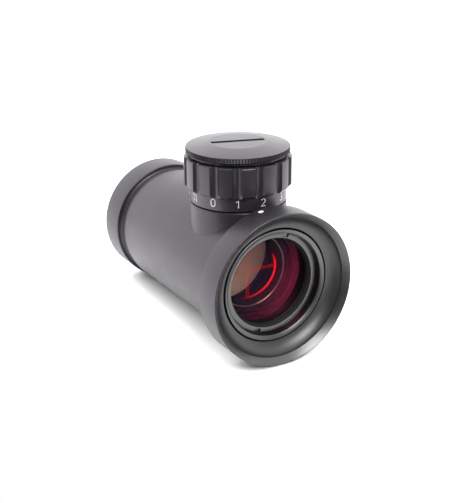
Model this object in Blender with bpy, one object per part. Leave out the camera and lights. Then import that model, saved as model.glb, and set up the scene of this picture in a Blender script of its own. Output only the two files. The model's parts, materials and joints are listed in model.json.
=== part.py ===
"""A red dot finder: a short tube with a lit circle-and-cross reticle and a numbered brightness dial.

The tube lies along Y and its objective faces -Y. +Z is up, and the dial turns about a line along Z.
The origin is the middle of the flat milled under the tube, where a bracket is screwed on.
Every size below is in millimetres, and MM turns it into metres where a mesh is made.
"""

import math

import bmesh
import bpy
from mathutils import Matrix, Vector

MM = 0.001
GAP = 0.3  # clearance between neighbouring pieces

# Tube and collar
AXIS_HEIGHT = 15.2  # tube axis above the mounting flat
TUBE_RADIUS = 15.7
TUBE_HALF_LENGTH = 23.8  # the plain tube runs this far each way from the origin
BORE_RADIUS = 13.5
COLLAR_RADIUS = 19.1
COLLAR_LENGTH = 7.3
EDGE_BREAK = 0.25
MOUTH_LINE_DEPTH = 1.4  # where the collar's lip meets its inner cone
MOUTH_LINE_RADIUS = 17.45
MOUTH_END_DEPTH = 4.2
RIM_LAND = 0.3  # flat left between the edge break and the lip
CELL_BORE_RADIUS = 14.4
CELL_BORE_DEPTH = 13.6
REAR_CHAMFER_LENGTH = 3.0
REAR_CHAMFER_DROP = 0.5
SPIGOT_RADIUS = 14.6
SPIGOT_LENGTH = 4.2

# Mounting flat
FLAT_LENGTH = 42.0
FLAT_CUT_WIDTH = 12.0
FLAT_CUT_DEPTH = 6.0
TAPPED_HOLE_RADIUS = 1.25
TAPPED_HOLE_OFFSET = 10.0
TAPPED_HOLE_LOW = -1.0
TAPPED_HOLE_HIGH = 3.0  # through the wall and into the bore

# Rear ring and window
GROOVE_LENGTH = 1.1
REAR_RING_RADIUS = 16.3
REAR_RING_LENGTH = 8.0
REAR_FLANGE = 1.6
REAR_APERTURE = 12.9
WINDOW_THICKNESS = 1.6
GASKET_THICKNESS = 0.8

# Front optics
CELL_FRONT_DEPTH = 3.9
CELL_FACE_SLOPE = 0.6  # the cell's face runs this far back towards its lip
CELL_SHELF_DEPTH = 7.9
CELL_LIP_RADIUS = 13.0
LENS_RADIUS = 11.7
LENS_VERTEX_DEPTH = 7.9
LENS_SAG = 0.6  # how far the front surface's edge lies behind its middle
LENS_JOINT_DEPTH = 2.8  # where the two elements meet, behind the vertex
LENS_JOINT_SAG = 0.9
LENS_SEAT_WIDTH = 0.8
LENS_SEAT_THICKNESS = 1.0
RETAINER_INNER = 10.6
RETAINER_LENGTH = 1.5
RETAINER_BACK = 0.4  # its back face, in front of the cell's shelf
RETAINER_BEVEL = 1.25
RETAINER_BORE_LENGTH = 0.6
RETAINER_NOTCH_WIDTH = 1.6
RETAINER_NOTCH_ANGLE = 71.0
LENS_GASKET_THICKNESS = 0.2

# Reticle, filter and baffle
PLATE_Y = -14.8
PLATE_THICKNESS = 1.2
PLATE_RADIUS = 12.2
PLATE_SEAT_WIDTH = 1.2
HOLDER_FRONT = 1.5  # the holder starts this far in front of the plate
HOLDER_BACK = 0.9
LAMP_WINDOW_RADIUS = 1.2
SLEEVE_RADIUS = BORE_RADIUS - GAP
FILTER_Y = -2.4
FILTER_THICKNESS = 1.2
FILTER_RADIUS = 13.1
BAFFLE_END = 30.6
BAFFLE_RIDGES = 3

# Turret boss
DIAL_Y = -9.5  # the dial's axis crosses the tube here
BOSS_RADIUS = 12.0
BOSS_START = AXIS_HEIGHT + 4.0  # inside the tube, where the bore removes the rest
BOSS_TOP = 32.35
POCKET_RADIUS = 8.5
POCKET_FLOOR = 30.6
LAMP_HOLE_RADIUS = 2.25
LAMP_COLLAR_RADIUS = 1.5
LEAD_THICKNESS = 0.4
LEAD_PLACES = ((0.45, 31.0), (0.45, 31.35), (0.7, 31.65), (0.7, 32.0))  # (x, z) along one lead
DETENT_HOLE_RADIUS = 1.0
DETENT_HOLE_FLOOR = 29.5
DETENT_RADIUS = 10.2  # the click ball's distance from the dial's axis
DETENT_COUNT = 12
DETENT_ANGLE = 90  # round the dial's axis, towards the rear
BALL_RADIUS = 0.8
BALL_HEIGHT = 32.15
SPRING_WIRE = 0.22
SPRING_RADIUS = 0.65
SPRING_TURNS = 3.5
SPRING_LOW = 29.75
SPRING_HIGH = 31.05

# Dial
SKIRT_RADIUS = 11.9
SKIRT_BOTTOM = BOSS_TOP + GAP
SKIRT_BORE = 9.2
GRIP_BOTTOM = 36.1
GRIP_TOP = 43.6
GRIP_RADIUS = 13.25
FLUTES = 15
FLUTE_DEPTH = 1.0
FLUTE_SHARE = 0.42  # share of the pitch that a flute takes
FLUTE_PHASE = -85.5  # middle of one land, degrees from +X
WEB_BOTTOM = 36.0
WEB_TOP = 38.0
WEB_BORE = 3.6
MOUTH_RADIUS = 11.3

# Wiper under the dial's web
WIPER_OUTER = 6.8
WIPER_INNER = 5.0
WIPER_THICKNESS = 0.3
WIPER_FOOT = 0.8

# Battery and cap
CELL_RADIUS = 10.0
CELL_THICKNESS = 3.2
CELL_BOTTOM = 40.1
CAP_RADIUS = 12.78
CAP_BAND_BOTTOM = 44.85
CAP_BAND_TOP = 45.9
CAP_TOP = 46.87
CAP_DISC_RADIUS = 7.05
CAP_SPIGOT_BOTTOM = 41.6
CAP_SPIGOT_RADIUS = 11.0
CAP_SPIGOT_INNER = 10.35
CAP_TEETH = 48
CAP_TOOTH_DEPTH = 0.22
SLOT_LENGTH = 13.2
SLOT_WIDTH = 1.6
SLOT_DEPTH = 1.0
SLOT_ANGLE = -18.3

# Post
POST_RADIUS = 3.3
POST_TOP = 39.2
POST_BORE = 1.9
CLIP_MOUTH_WIDTH = 2.4
FLANGE_BOTTOM = 31.1
FLANGE_TOP = 31.9
BOARD_BOTTOM = FLANGE_TOP + 0.35
BOARD_THICKNESS = 0.8

# Facets round a circle
FINE = 64
PLAIN = 32
COARSE = 24
TINY = 12

FRONT_FACE = -TUBE_HALF_LENGTH - COLLAR_LENGTH
COLLAR_BACK = -TUBE_HALF_LENGTH
CHAMFER_END = TUBE_HALF_LENGTH + REAR_CHAMFER_LENGTH
SPIGOT_END = CHAMFER_END + SPIGOT_LENGTH
RING_FRONT = CHAMFER_END + GROOVE_LENGTH
RING_BACK = RING_FRONT + REAR_RING_LENGTH
WINDOW_BACK = RING_BACK - REAR_FLANGE - GAP


def clear_scene():
    for obj in list(bpy.data.objects):
        bpy.data.objects.remove(obj, do_unlink=True)


def make_material(name, color, roughness, metallic=0.0):
    material = bpy.data.materials.new(name)
    material.use_nodes = True
    shader = material.node_tree.nodes["Principled BSDF"]
    shader.inputs["Base Color"].default_value = (*color, 1.0)
    shader.inputs["Roughness"].default_value = roughness
    shader.inputs["Metallic"].default_value = metallic
    return material


def no_ripple(angle):
    return 0.0


def flute_ripple(angle):
    """1 at the middle of a flute, 0 on a land; the flute's sides are half a cosine each."""
    turn = (math.degrees(angle) - FLUTE_PHASE) * FLUTES / 360.0
    from_land = abs(turn - round(turn))
    edge = 0.5 - FLUTE_SHARE / 2
    if from_land <= edge:
        return 0.0
    return 0.5 - 0.5 * math.cos(math.pi * min(1.0, (from_land - edge) / (FLUTE_SHARE / 4)))


def tooth_ripple(angle):
    turn = angle * CAP_TEETH / math.tau
    return abs(2 * (turn - math.floor(turn)) - 1)


def revolve(profile, segments, ripple=no_ripple, first=0.0):
    """A closed solid from a closed profile of (along, radius) or (along, radius, ripple depth).

    first is the angle of the first facet edge, counted in facets.
    """
    mesh = bmesh.new()
    rings = []
    for along, radius, *depth in profile:
        if radius == 0:
            rings.append([mesh.verts.new((0, 0, along * MM))] * segments)
            continue
        ring = []
        for step in range(segments):
            angle = math.tau * (step + first) / segments
            reach = (radius - (depth[0] if depth else 0) * ripple(angle)) * MM
            ring.append(mesh.verts.new((reach * math.cos(angle), reach * math.sin(angle), along * MM)))
        rings.append(ring)
    for near, far in zip(rings, rings[1:] + rings[:1]):
        for step in range(segments):
            following = (step + 1) % segments
            corners = [near[step], near[following], far[following], far[step]]
            corners = list(dict.fromkeys(corners))
            if len(corners) > 2:
                mesh.faces.new(corners)
    bmesh.ops.recalc_face_normals(mesh, faces=mesh.faces)
    return mesh


def add_object(name, mesh, material=None, place=(0, 0, 0), turn=None):
    """Links the bmesh as an object. place is in millimetres and turn is a rotation matrix."""
    data = bpy.data.meshes.new(name)
    mesh.to_mesh(data)
    mesh.free()
    data.shade_smooth()
    data.set_sharp_from_angle(angle=math.radians(35))
    if material:
        data.materials.append(material)
    obj = bpy.data.objects.new(name, data)
    bpy.context.scene.collection.objects.link(obj)
    matrix = turn.to_4x4() if turn else Matrix.Identity(4)
    obj.matrix_world = Matrix.Translation(Vector(place) * MM) @ matrix
    return obj


ALONG_TUBE = Matrix.Rotation(math.radians(-90), 3, "X")  # turns +Z to +Y


def turned(name, profile, material, segments=PLAIN):
    """A piece turned about the tube's axis. The profile is (y, radius)."""
    return add_object(name, revolve(profile, segments), material, (0, 0, AXIS_HEIGHT), ALONG_TUBE)


def dial_piece(name, profile, material, segments=PLAIN, ripple=no_ripple, first=0.0):
    """A piece turned about the dial's axis. The profile is (z, radius)."""
    return add_object(name, revolve(profile, segments, ripple, first), material, (0, DIAL_Y, 0))


def rod(low, high, radius):
    return [(low, 0), (low, radius), (high, radius), (high, 0)]


def washer(low, high, outer, inner):
    return [(low, outer), (high, outer), (high, inner), (low, inner)]


def torus(middle, radius, thickness, points=10):
    turns = [math.tau * step / points for step in range(points)]
    return [(middle + thickness * math.sin(turn), radius + thickness * math.cos(turn)) for turn in turns]


def block(size):
    mesh = bmesh.new()
    bmesh.ops.create_cube(mesh, size=1.0, matrix=Matrix.Diagonal((*(Vector(size) * MM), 1.0)))
    return mesh


def ball(radius, columns=TINY, rows=8):
    mesh = bmesh.new()
    bmesh.ops.create_uvsphere(mesh, u_segments=columns, v_segments=rows, radius=radius * MM)
    return mesh


def combine(target, tool, operation):
    modifier = target.modifiers.new(tool.name, "BOOLEAN")
    modifier.operation = operation
    modifier.object = tool
    modifier.solver = "EXACT"
    tool.hide_render = True
    tool.display_type = "WIRE"
    return tool


def cut(target, tool):
    return combine(target, tool, "DIFFERENCE")


def join(target, tool):
    return combine(target, tool, "UNION")


def dial_point(radius, degrees):
    """(x, y) of a point round the dial's axis."""
    angle = math.radians(degrees)
    return radius * math.cos(angle), DIAL_Y + radius * math.sin(angle)


def upright(name, x, y, low, high, radius, segments=TINY):
    """An upright cylinder used as a tool. Its facets are turned off the tube's own facet edges."""
    return add_object(name, revolve(rod(low, high, radius), segments, first=0.3), None, (x, y, 0))


def make_housing(material):
    back_radius = TUBE_RADIUS - REAR_CHAMFER_DROP
    outside = [
        (FRONT_FACE, 0),
        (FRONT_FACE, COLLAR_RADIUS - EDGE_BREAK),
        (FRONT_FACE + EDGE_BREAK, COLLAR_RADIUS),
        (COLLAR_BACK - EDGE_BREAK, COLLAR_RADIUS),
        (COLLAR_BACK, COLLAR_RADIUS - EDGE_BREAK),
        (COLLAR_BACK, TUBE_RADIUS),
        (TUBE_HALF_LENGTH, TUBE_RADIUS),
        (CHAMFER_END, back_radius),
        (CHAMFER_END, SPIGOT_RADIUS),
        (SPIGOT_END, SPIGOT_RADIUS),
        (SPIGOT_END, 0),
    ]
    housing = turned("tube_housing", outside, material, FINE)
    boss = dial_piece("boss_tool", rod(BOSS_START, BOSS_TOP, BOSS_RADIUS), None, FINE, first=0.5)
    join(housing, boss)
    spare = 0.5
    mouth_radius = COLLAR_RADIUS - EDGE_BREAK - RIM_LAND
    mouth_end = FRONT_FACE + MOUTH_END_DEPTH
    bore_step = FRONT_FACE + CELL_BORE_DEPTH
    inside = [
        (FRONT_FACE - spare, 0),
        (FRONT_FACE - spare, mouth_radius + spare),
        (FRONT_FACE, mouth_radius),
        (FRONT_FACE + MOUTH_LINE_DEPTH, MOUTH_LINE_RADIUS),
        (mouth_end, CELL_BORE_RADIUS + GAP),
        (mouth_end, CELL_BORE_RADIUS),
        (bore_step, CELL_BORE_RADIUS),
        (bore_step, BORE_RADIUS),
        (SPIGOT_END + spare, BORE_RADIUS),
        (SPIGOT_END + spare, 0),
    ]
    cut(housing, turned("bore_tool", inside, None, FINE))
    pocket = rod(POCKET_FLOOR, BOSS_TOP + spare, POCKET_RADIUS)
    cut(housing, dial_piece("pocket_tool", pocket, None, PLAIN, first=0.5))
    bore_top = AXIS_HEIGHT + CELL_RADIUS
    cut(housing, upright("lamp_hole_tool", 0, PLATE_Y, bore_top, POCKET_FLOOR + spare, LAMP_HOLE_RADIUS))
    x, y = dial_point(DETENT_RADIUS, DETENT_ANGLE)
    cut(housing, upright("detent_hole_tool", x, y, DETENT_HOLE_FLOOR, BOSS_TOP + spare, DETENT_HOLE_RADIUS))
    flat = add_object("flat_tool", block((FLAT_CUT_WIDTH, FLAT_LENGTH, FLAT_CUT_DEPTH)))
    flat.location.z = -FLAT_CUT_DEPTH / 2 * MM
    cut(housing, flat)
    for side, y in (("front", -TAPPED_HOLE_OFFSET), ("rear", TAPPED_HOLE_OFFSET)):
        tool = upright(f"tapped_{side}_tool", 0, y, TAPPED_HOLE_LOW, TAPPED_HOLE_HIGH, TAPPED_HOLE_RADIUS)
        cut(housing, tool)


def make_rear_ring(ring_material, glass_material, rubber_material):
    thread_radius = SPIGOT_RADIUS + GAP
    chamfer = 0.35
    flare = 1.0
    ring = [
        (RING_FRONT, REAR_RING_RADIUS - chamfer),
        (RING_FRONT + chamfer, REAR_RING_RADIUS),
        (RING_BACK - chamfer, REAR_RING_RADIUS),
        (RING_BACK, REAR_RING_RADIUS - chamfer),
        (RING_BACK, REAR_APERTURE + flare),
        (RING_BACK - flare, REAR_APERTURE),
        (RING_BACK - REAR_FLANGE, REAR_APERTURE),
        (RING_BACK - REAR_FLANGE, thread_radius),
        (RING_FRONT, thread_radius),
    ]
    turned("rear_ring", ring, ring_material, FINE)
    window = rod(WINDOW_BACK - WINDOW_THICKNESS, WINDOW_BACK, thread_radius - GAP)
    turned("rear_window", window, glass_material)
    gasket_back = WINDOW_BACK - WINDOW_THICKNESS - GAP
    gasket = washer(gasket_back - GASKET_THICKNESS, gasket_back, thread_radius - GAP, BORE_RADIUS)
    turned("rear_gasket", gasket, rubber_material)


def dome(edge, vertex, radius, steps=3):
    """Profile points of a lens surface, from its edge to its middle."""
    points = []
    for step in range(steps + 1):
        reach = radius * (1 - step / steps)
        points.append((vertex + (edge - vertex) * (reach / radius) ** 2, reach))
    return points


def make_front_optics(cell_material, ring_material, glass_material, rubber_material):
    cell_radius = CELL_BORE_RADIUS - GAP
    cell_front = FRONT_FACE + CELL_FRONT_DEPTH
    cell_back = FRONT_FACE + CELL_BORE_DEPTH - GAP
    seat = cell_back - LENS_SEAT_THICKNESS
    seat_radius = LENS_RADIUS - LENS_SEAT_WIDTH
    pocket_radius = LENS_RADIUS + GAP
    shelf = FRONT_FACE + CELL_SHELF_DEPTH
    cell = [
        (cell_front, cell_radius - EDGE_BREAK),
        (cell_front + EDGE_BREAK, cell_radius),
        (cell_back, cell_radius),
        (cell_back, seat_radius),
        (seat, seat_radius),
        (seat, pocket_radius),
        (shelf, pocket_radius),
        (shelf, CELL_LIP_RADIUS),
        (cell_front + CELL_FACE_SLOPE, CELL_LIP_RADIUS),
    ]
    turned("lens_cell", cell, cell_material)

    ring_radius = CELL_LIP_RADIUS - GAP
    ring_back = shelf - RETAINER_BACK
    ring_front = ring_back - RETAINER_LENGTH
    ring = [
        (ring_front, ring_radius),
        (ring_back, ring_radius),
        (ring_back, RETAINER_INNER),
        (ring_back - RETAINER_BORE_LENGTH, RETAINER_INNER),
        (ring_front, ring_radius - RETAINER_BEVEL),
    ]
    retainer = turned("front_retaining_ring", ring, ring_material)
    notch_size = (2.0, 1.6, RETAINER_NOTCH_WIDTH)
    for index in range(2):
        angle = math.radians(RETAINER_NOTCH_ANGLE + 180 * index)
        notch = add_object(f"notch_tool_{index}", block(notch_size))
        middle = Vector((math.cos(angle), 0, math.sin(angle))) * ring_radius
        place = (middle + Vector((0, ring_front, AXIS_HEIGHT))) * MM
        notch.matrix_world = Matrix.Translation(place) @ Matrix.Rotation(-angle, 4, "Y")
        cut(retainer, notch)

    vertex = FRONT_FACE + LENS_VERTEX_DEPTH
    front_edge = vertex + LENS_SAG
    joint_vertex = vertex + LENS_JOINT_DEPTH
    joint_edge = joint_vertex - LENS_JOINT_SAG
    front = dome(front_edge, vertex, LENS_RADIUS)[::-1] + dome(joint_edge, joint_vertex, LENS_RADIUS)
    turned("objective_lens", front, glass_material)
    rear_face = seat - GAP
    flint = dome(joint_edge + GAP, joint_vertex + GAP, LENS_RADIUS)[::-1]
    turned("objective_rear_element", flint + [(rear_face, LENS_RADIUS), (rear_face, 0)], glass_material)
    gasket_middle = (ring_back + front_edge) / 2
    gasket_radius = LENS_RADIUS - 2 * LENS_GASKET_THICKNESS
    gasket = torus(gasket_middle, gasket_radius, LENS_GASKET_THICKNESS, 6)
    turned("lens_gasket", gasket, rubber_material)


def make_reticle(plate_material, holder_material):
    plate_front = PLATE_Y - PLATE_THICKNESS / 2
    plate_back = PLATE_Y + PLATE_THICKNESS / 2
    turned("reticle_plate", rod(plate_front, plate_back, PLATE_RADIUS), plate_material)
    pocket_radius = PLATE_RADIUS + GAP
    seat_radius = PLATE_RADIUS - PLATE_SEAT_WIDTH
    holder = [
        (plate_front - HOLDER_FRONT, SLEEVE_RADIUS),
        (plate_back + HOLDER_BACK, SLEEVE_RADIUS),
        (plate_back + HOLDER_BACK, pocket_radius),
        (plate_front - GAP, pocket_radius),
        (plate_front - GAP, seat_radius),
        (plate_front - HOLDER_FRONT, seat_radius),
    ]
    ring = turned("reticle_holder", holder, holder_material)
    window_low = AXIS_HEIGHT + seat_radius
    window_high = AXIS_HEIGHT + CELL_BORE_RADIUS
    cut(ring, upright("lamp_window_tool", 0, PLATE_Y, window_low, window_high, LAMP_WINDOW_RADIUS))

    nose = plate_back + GAP
    body = plate_back + HOLDER_BACK + GAP
    back = FILTER_Y - FILTER_THICKNESS / 2 - GAP
    lip_radius = PLATE_RADIUS - 0.2
    lip_thickness = 1.0
    nose_bore = seat_radius + 0.2
    spacer = [
        (nose, PLATE_RADIUS),
        (body, PLATE_RADIUS),
        (body, SLEEVE_RADIUS),
        (back, SLEEVE_RADIUS),
        (back, lip_radius),
        (back - lip_thickness, lip_radius),
        (back - lip_thickness, pocket_radius),
        (body + GAP, pocket_radius),
        (body + GAP, nose_bore),
        (nose, nose_bore),
    ]
    turned("spacer_tube", spacer, holder_material)


def make_filter_and_baffle(filter_material, holder_material, baffle_material):
    filter_back = FILTER_Y + FILTER_THICKNESS / 2
    turned("amber_filter", rod(FILTER_Y - FILTER_THICKNESS / 2, filter_back, FILTER_RADIUS), filter_material)
    ring_length = 2.4
    ring_width = 1.4
    ring_back = filter_back + GAP + ring_length
    ring = washer(filter_back + GAP, ring_back, SLEEVE_RADIUS, SLEEVE_RADIUS - ring_width)
    turned("filter_ring", ring, holder_material)
    start = ring_back + GAP
    wall = SLEEVE_RADIUS - 0.7
    ridge = wall - 0.6
    ridge_length = 0.8
    pitch = (BAFFLE_END - start) / BAFFLE_RIDGES
    sleeve = [(start, SLEEVE_RADIUS), (BAFFLE_END, SLEEVE_RADIUS)]
    for index in range(BAFFLE_RIDGES):
        back = BAFFLE_END - index * pitch
        front = back - ridge_length
        sleeve += [(back, ridge), (front, ridge), (front, wall), (back - pitch, wall)]
    turned("inner_baffle", sleeve, baffle_material)


def make_lamp(lamp_material, sleeve_material, lead_material):
    tip = 28.4
    collar = 30.35
    base = collar + 0.4
    lamp_radius = 1.1
    lamp = [(tip, 0), (tip + 0.15, 0.6), (tip + 0.6, 1.0), (tip + 1.0, lamp_radius), (collar, lamp_radius)]
    lamp += [(collar, LAMP_COLLAR_RADIUS), (base, LAMP_COLLAR_RADIUS), (base, 0)]
    add_object("led_lamp", revolve(lamp, TINY), lamp_material, (0, PLATE_Y, 0))
    sleeve = washer(tip + 0.5, collar - GAP, LAMP_HOLE_RADIUS - GAP, lamp_radius + GAP)
    add_object("led_sleeve", revolve(sleeve, TINY), sleeve_material, (0, PLATE_Y, 0))
    for name, side in (("led_lead_positive", 1), ("led_lead_negative", -1)):
        lead = bpy.data.curves.new(name, "CURVE")
        lead.dimensions = "3D"
        lead.bevel_depth = LEAD_THICKNESS / 2 * MM
        lead.bevel_resolution = 1
        lead.use_fill_caps = True
        path = lead.splines.new("POLY")
        path.points.add(len(LEAD_PLACES) - 1)
        for point, (x, z) in zip(path.points, LEAD_PLACES):
            point.co = (side * x * MM, PLATE_Y * MM, z * MM, 1)
        lead.materials.append(lead_material)
        obj = bpy.data.objects.new(name, lead)
        bpy.context.scene.collection.objects.link(obj)


def make_post(post_material, board_material):
    flange_radius = POCKET_RADIUS - GAP
    neck_radius = POST_RADIUS - 0.7
    neck_low = WEB_TOP + 0.2
    neck_high = neck_low + 0.8
    head_radius = POST_RADIUS - 0.2
    post = [
        (FLANGE_BOTTOM, flange_radius),
        (FLANGE_TOP, flange_radius),
        (FLANGE_TOP, POST_RADIUS),
        (neck_low, POST_RADIUS),
        (neck_low, neck_radius),
        (neck_high, neck_radius),
        (neck_high, head_radius),
        (POST_TOP, head_radius),
        (POST_TOP, POST_BORE),
        (FLANGE_BOTTOM, POST_BORE),
    ]
    body = dial_piece("dial_post", post, post_material)
    lead_hole_radius = 1.4
    cut(body, upright("lead_hole_tool", 0, PLATE_Y, FLANGE_BOTTOM - GAP, FLANGE_TOP + GAP, lead_hole_radius))
    board_margin = 0.6
    board_rim = flange_radius - board_margin
    board = washer(BOARD_BOTTOM, BOARD_BOTTOM + BOARD_THICKNESS, board_rim, POST_RADIUS + board_margin)
    dial_piece("switch_board", board, board_material)

    clip_radius = 5.0
    clip_low = neck_low + 0.15
    clip_thickness = 0.4
    ring = washer(clip_low, clip_low + clip_thickness, clip_radius, neck_radius + GAP)
    clip = dial_piece("dial_clip", ring, post_material)
    mouth = add_object("clip_mouth_tool", block((CLIP_MOUTH_WIDTH, clip_radius + 1, clip_thickness * 5)))
    mouth.location = Vector((0, DIAL_Y + clip_radius, neck_low)) * MM
    cut(clip, mouth)


def make_detent(ball_material, spring_material):
    x, y = dial_point(DETENT_RADIUS, DETENT_ANGLE)
    add_object("detent_ball", ball(BALL_RADIUS), ball_material, (x, y, BALL_HEIGHT))
    spring = bpy.data.curves.new("detent_spring", "CURVE")
    spring.dimensions = "3D"
    spring.bevel_depth = SPRING_WIRE / 2 * MM
    spring.bevel_resolution = 0
    spring.use_fill_caps = True
    steps = int(SPRING_TURNS * 10)
    path = spring.splines.new("POLY")
    path.points.add(steps)
    for step, point in enumerate(path.points):
        angle = math.tau * SPRING_TURNS * step / steps
        height = (SPRING_HIGH - SPRING_LOW) * step / steps
        across = SPRING_RADIUS * Vector((math.cos(angle), math.sin(angle)))
        point.co = (across.x * MM, across.y * MM, height * MM, 1)
    spring.materials.append(spring_material)
    obj = bpy.data.objects.new("detent_spring", spring)
    obj.location = Vector((x, y, SPRING_LOW)) * MM
    bpy.context.scene.collection.objects.link(obj)


def make_knob(material):
    skirt_chamfer = 0.2
    low_chamfer = 0.6
    top_chamfer = 0.35
    step_top = SKIRT_BOTTOM + 0.55
    step_radius = DETENT_RADIUS + 0.95
    seal_radius = POST_RADIUS + 1.3
    seal_top = WEB_BOTTOM + 0.9
    dimple_radius = 0.7
    spare = 0.5
    outside = [
        (SKIRT_BOTTOM, 0),
        (SKIRT_BOTTOM, SKIRT_RADIUS - skirt_chamfer),
        (SKIRT_BOTTOM + skirt_chamfer, SKIRT_RADIUS),
        (GRIP_BOTTOM, SKIRT_RADIUS),
        (GRIP_BOTTOM + 0.05, SKIRT_RADIUS + 0.5, 0.3),
        (GRIP_BOTTOM + low_chamfer, GRIP_RADIUS, FLUTE_DEPTH),
        (GRIP_TOP - top_chamfer, GRIP_RADIUS, FLUTE_DEPTH),
        (GRIP_TOP, GRIP_RADIUS - top_chamfer, FLUTE_DEPTH - top_chamfer),
        (GRIP_TOP, 0),
    ]
    body = dial_piece("dial_knob", outside, material, FLUTES * 6, flute_ripple)
    below = [
        (SKIRT_BOTTOM - spare, 0),
        (SKIRT_BOTTOM - spare, step_radius),
        (step_top, step_radius),
        (step_top, SKIRT_BORE),
        (WEB_BOTTOM, SKIRT_BORE),
        (WEB_BOTTOM, seal_radius),
        (seal_top, seal_radius),
        (seal_top, WEB_BORE),
        (WEB_TOP, WEB_BORE),
        (WEB_TOP, MOUTH_RADIUS),
        (GRIP_TOP + spare, MOUTH_RADIUS),
        (GRIP_TOP + spare, 0),
    ]
    cut(body, dial_piece("knob_bore_tool", below, None, PLAIN))
    for index in range(DETENT_COUNT):
        x, y = dial_point(DETENT_RADIUS, DETENT_ANGLE + 360 / DETENT_COUNT * index)
        place = (x, y, step_top - dimple_radius / 2)
        cut(body, add_object(f"dimple_tool_{index}", ball(dimple_radius, 6, 4), None, place))


def make_dial_inside(metal, spring_material, rubber_material, tray_material, cell_material):
    wiper_low = WEB_BOTTOM - GAP - WIPER_THICKNESS
    blank = washer(wiper_low, wiper_low + WIPER_THICKNESS, WIPER_OUTER, WIPER_INNER)
    wiper = dial_piece("switch_wiper", blank, spring_material, COARSE)
    foot_low = BOARD_BOTTOM + BOARD_THICKNESS + GAP
    foot_height = wiper_low + WIPER_THICKNESS / 2 - foot_low
    for index in range(3):
        x, y = dial_point((WIPER_OUTER + WIPER_INNER) / 2, DETENT_ANGLE + 120 * index)
        foot = add_object(f"wiper_foot_tool_{index}", block((WIPER_FOOT, WIPER_FOOT, foot_height)))
        foot.location = Vector((x, y, foot_low + foot_height / 2)) * MM
        join(wiper, foot)
    seal = torus(WEB_BOTTOM + 0.42, POST_RADIUS + 0.68, 0.38, 6)
    dial_piece("dial_o_ring", seal, rubber_material, COARSE)

    tray_low = WEB_TOP + 1.0
    tray_floor = tray_low + 0.7
    tray_radius = MOUTH_RADIUS - 0.4
    tray_top = CAP_SPIGOT_BOTTOM - 0.4
    tray_hole = WEB_BORE
    tray = [
        (tray_low, tray_radius),
        (tray_top, tray_radius),
        (tray_top, CAP_SPIGOT_INNER),
        (tray_floor, CAP_SPIGOT_INNER),
        (tray_floor, tray_hole),
        (tray_low, tray_hole),
    ]
    dial_piece("battery_tray", tray, tray_material)
    pin_low = WEB_TOP - 0.8
    pin_radius = 1.5
    head_low = POST_TOP + GAP
    head_high = head_low + 0.35
    contact = [(pin_low, 0), (pin_low, pin_radius), (head_low, pin_radius), (head_low, 2 * pin_radius)]
    contact += [(head_high, 2 * pin_radius), (head_high, 0)]
    dial_piece("battery_contact", contact, metal, COARSE)
    rim = 0.25
    cell_top = CELL_BOTTOM + CELL_THICKNESS
    cell = [
        (CELL_BOTTOM, 0),
        (CELL_BOTTOM, CELL_RADIUS - 1.2),
        (CELL_BOTTOM + 0.4, CELL_RADIUS - 0.6),
        (CELL_BOTTOM + 0.7, CELL_RADIUS),
        (cell_top - rim, CELL_RADIUS),
        (cell_top, CELL_RADIUS - rim),
        (cell_top, 0),
    ]
    dial_piece("battery", cell, cell_material)


def make_cap(cap_material, spring_material, rubber_material):
    bevel = 0.15
    top = [
        (CAP_BAND_BOTTOM, 0),
        (CAP_BAND_BOTTOM, CAP_RADIUS - bevel),
        (CAP_BAND_BOTTOM + bevel, CAP_RADIUS, CAP_TOOTH_DEPTH),
        (CAP_BAND_TOP - bevel, CAP_RADIUS, CAP_TOOTH_DEPTH),
        (CAP_BAND_TOP, CAP_RADIUS - bevel),
        (CAP_TOP, CAP_DISC_RADIUS),
        (CAP_TOP, 0),
    ]
    body = dial_piece("battery_cap", top, cap_material, CAP_TEETH * 2, tooth_ripple)
    overlap = 0.5
    spigot = washer(CAP_SPIGOT_BOTTOM, CAP_BAND_BOTTOM + overlap, CAP_SPIGOT_RADIUS, CAP_SPIGOT_INNER)
    join(body, dial_piece("cap_spigot_tool", spigot, None, PLAIN))
    slot = add_object("slot_tool", block((SLOT_LENGTH, SLOT_WIDTH, SLOT_DEPTH * 2)))
    turn = Matrix.Rotation(math.radians(SLOT_ANGLE), 4, "Z")
    slot.matrix_world = Matrix.Translation(Vector((0, DIAL_Y, CAP_TOP)) * MM) @ turn
    cut(body, slot)
    thickness = 0.3
    rim_radius = 8.0
    hole_radius = 2.0
    cone_top = 6.4
    cone_foot = 3.4
    spring_top = CAP_BAND_BOTTOM - GAP
    spring_low = CELL_BOTTOM + CELL_THICKNESS + GAP
    spring = [
        (spring_top, rim_radius),
        (spring_top, cone_top),
        (spring_low + thickness, cone_foot),
        (spring_low + thickness, hole_radius),
        (spring_low, hole_radius),
        (spring_low, cone_foot + 0.2),
        (spring_top - thickness, cone_top + 0.2),
        (spring_top - thickness, rim_radius),
    ]
    dial_piece("cap_contact", spring, spring_material, COARSE)
    seal_middle = (GRIP_TOP + CAP_BAND_BOTTOM) / 2
    seal = torus(seal_middle, CAP_SPIGOT_RADIUS + 0.75, 0.4, 8)
    dial_piece("cap_seal", seal, rubber_material)


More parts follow.
